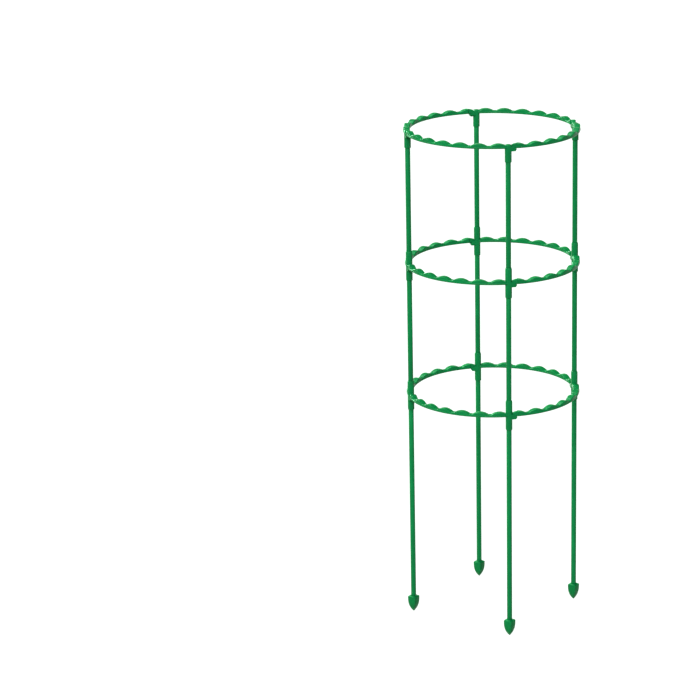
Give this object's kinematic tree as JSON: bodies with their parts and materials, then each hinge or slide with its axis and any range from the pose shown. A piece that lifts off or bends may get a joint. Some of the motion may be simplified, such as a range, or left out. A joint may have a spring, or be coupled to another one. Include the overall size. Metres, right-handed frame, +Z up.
{
  "type": "plant support frame",
  "caption": "Cylindrical plant support: three wavy clip-together rings on push-fit poles that end in ground spikes.",
  "frame": {"origin": "on the ground at the tips of the spikes, at the centre of the frame", "axes": "+Z up along the columns; the front column stands at -Y and the right column at +X"},
  "size_m": [0.18, 0.18, 0.5048],
  "materials": {
    "ring_plastic": "satin moulded polypropylene, mid green",
    "pole_plastic": "satin drawn plastic rod, mid green, fine lengthwise draw lines",
    "spike_plastic": "fine-textured moulded plastic, slightly darker green"
  },
  "bodies": {
    "lower_tier": {"lower_ring_arc_front": "ring_plastic", "lower_ring_arc_right": "ring_plastic", "lower_ring_arc_back": "ring_plastic", "lower_ring_arc_left": "ring_plastic", "leg_pole_front": "pole_plastic", "leg_pole_right": "pole_plastic", "leg_pole_back": "pole_plastic", "leg_pole_left": "pole_plastic", "ground_spike_front": "spike_plastic", "ground_spike_right": "spike_plastic", "ground_spike_back": "spike_plastic", "ground_spike_left": "spike_plastic"},
    "middle_tier": {"middle_ring_arc_front": "ring_plastic", "middle_ring_arc_right": "ring_plastic", "middle_ring_arc_back": "ring_plastic", "middle_ring_arc_left": "ring_plastic", "middle_pole_front": "pole_plastic", "middle_pole_right": "pole_plastic", "middle_pole_back": "pole_plastic", "middle_pole_left": "pole_plastic"},
    "upper_tier": {"upper_ring_arc_front": "ring_plastic", "upper_ring_arc_right": "ring_plastic", "upper_ring_arc_back": "ring_plastic", "upper_ring_arc_left": "ring_plastic", "upper_pole_front": "pole_plastic", "upper_pole_right": "pole_plastic", "upper_pole_back": "pole_plastic", "upper_pole_left": "pole_plastic"}
  },
  "joints": [
    {"name": "middle_tier_lift", "type": "slide", "parent": "lower_tier", "child": "middle_tier", "axis": [0, 0, 1], "range_m": [0, 0.03]},
    {"name": "upper_tier_lift", "type": "slide", "parent": "middle_tier", "child": "upper_tier", "axis": [0, 0, 1], "range_m": [0, 0.03]}
  ]
}
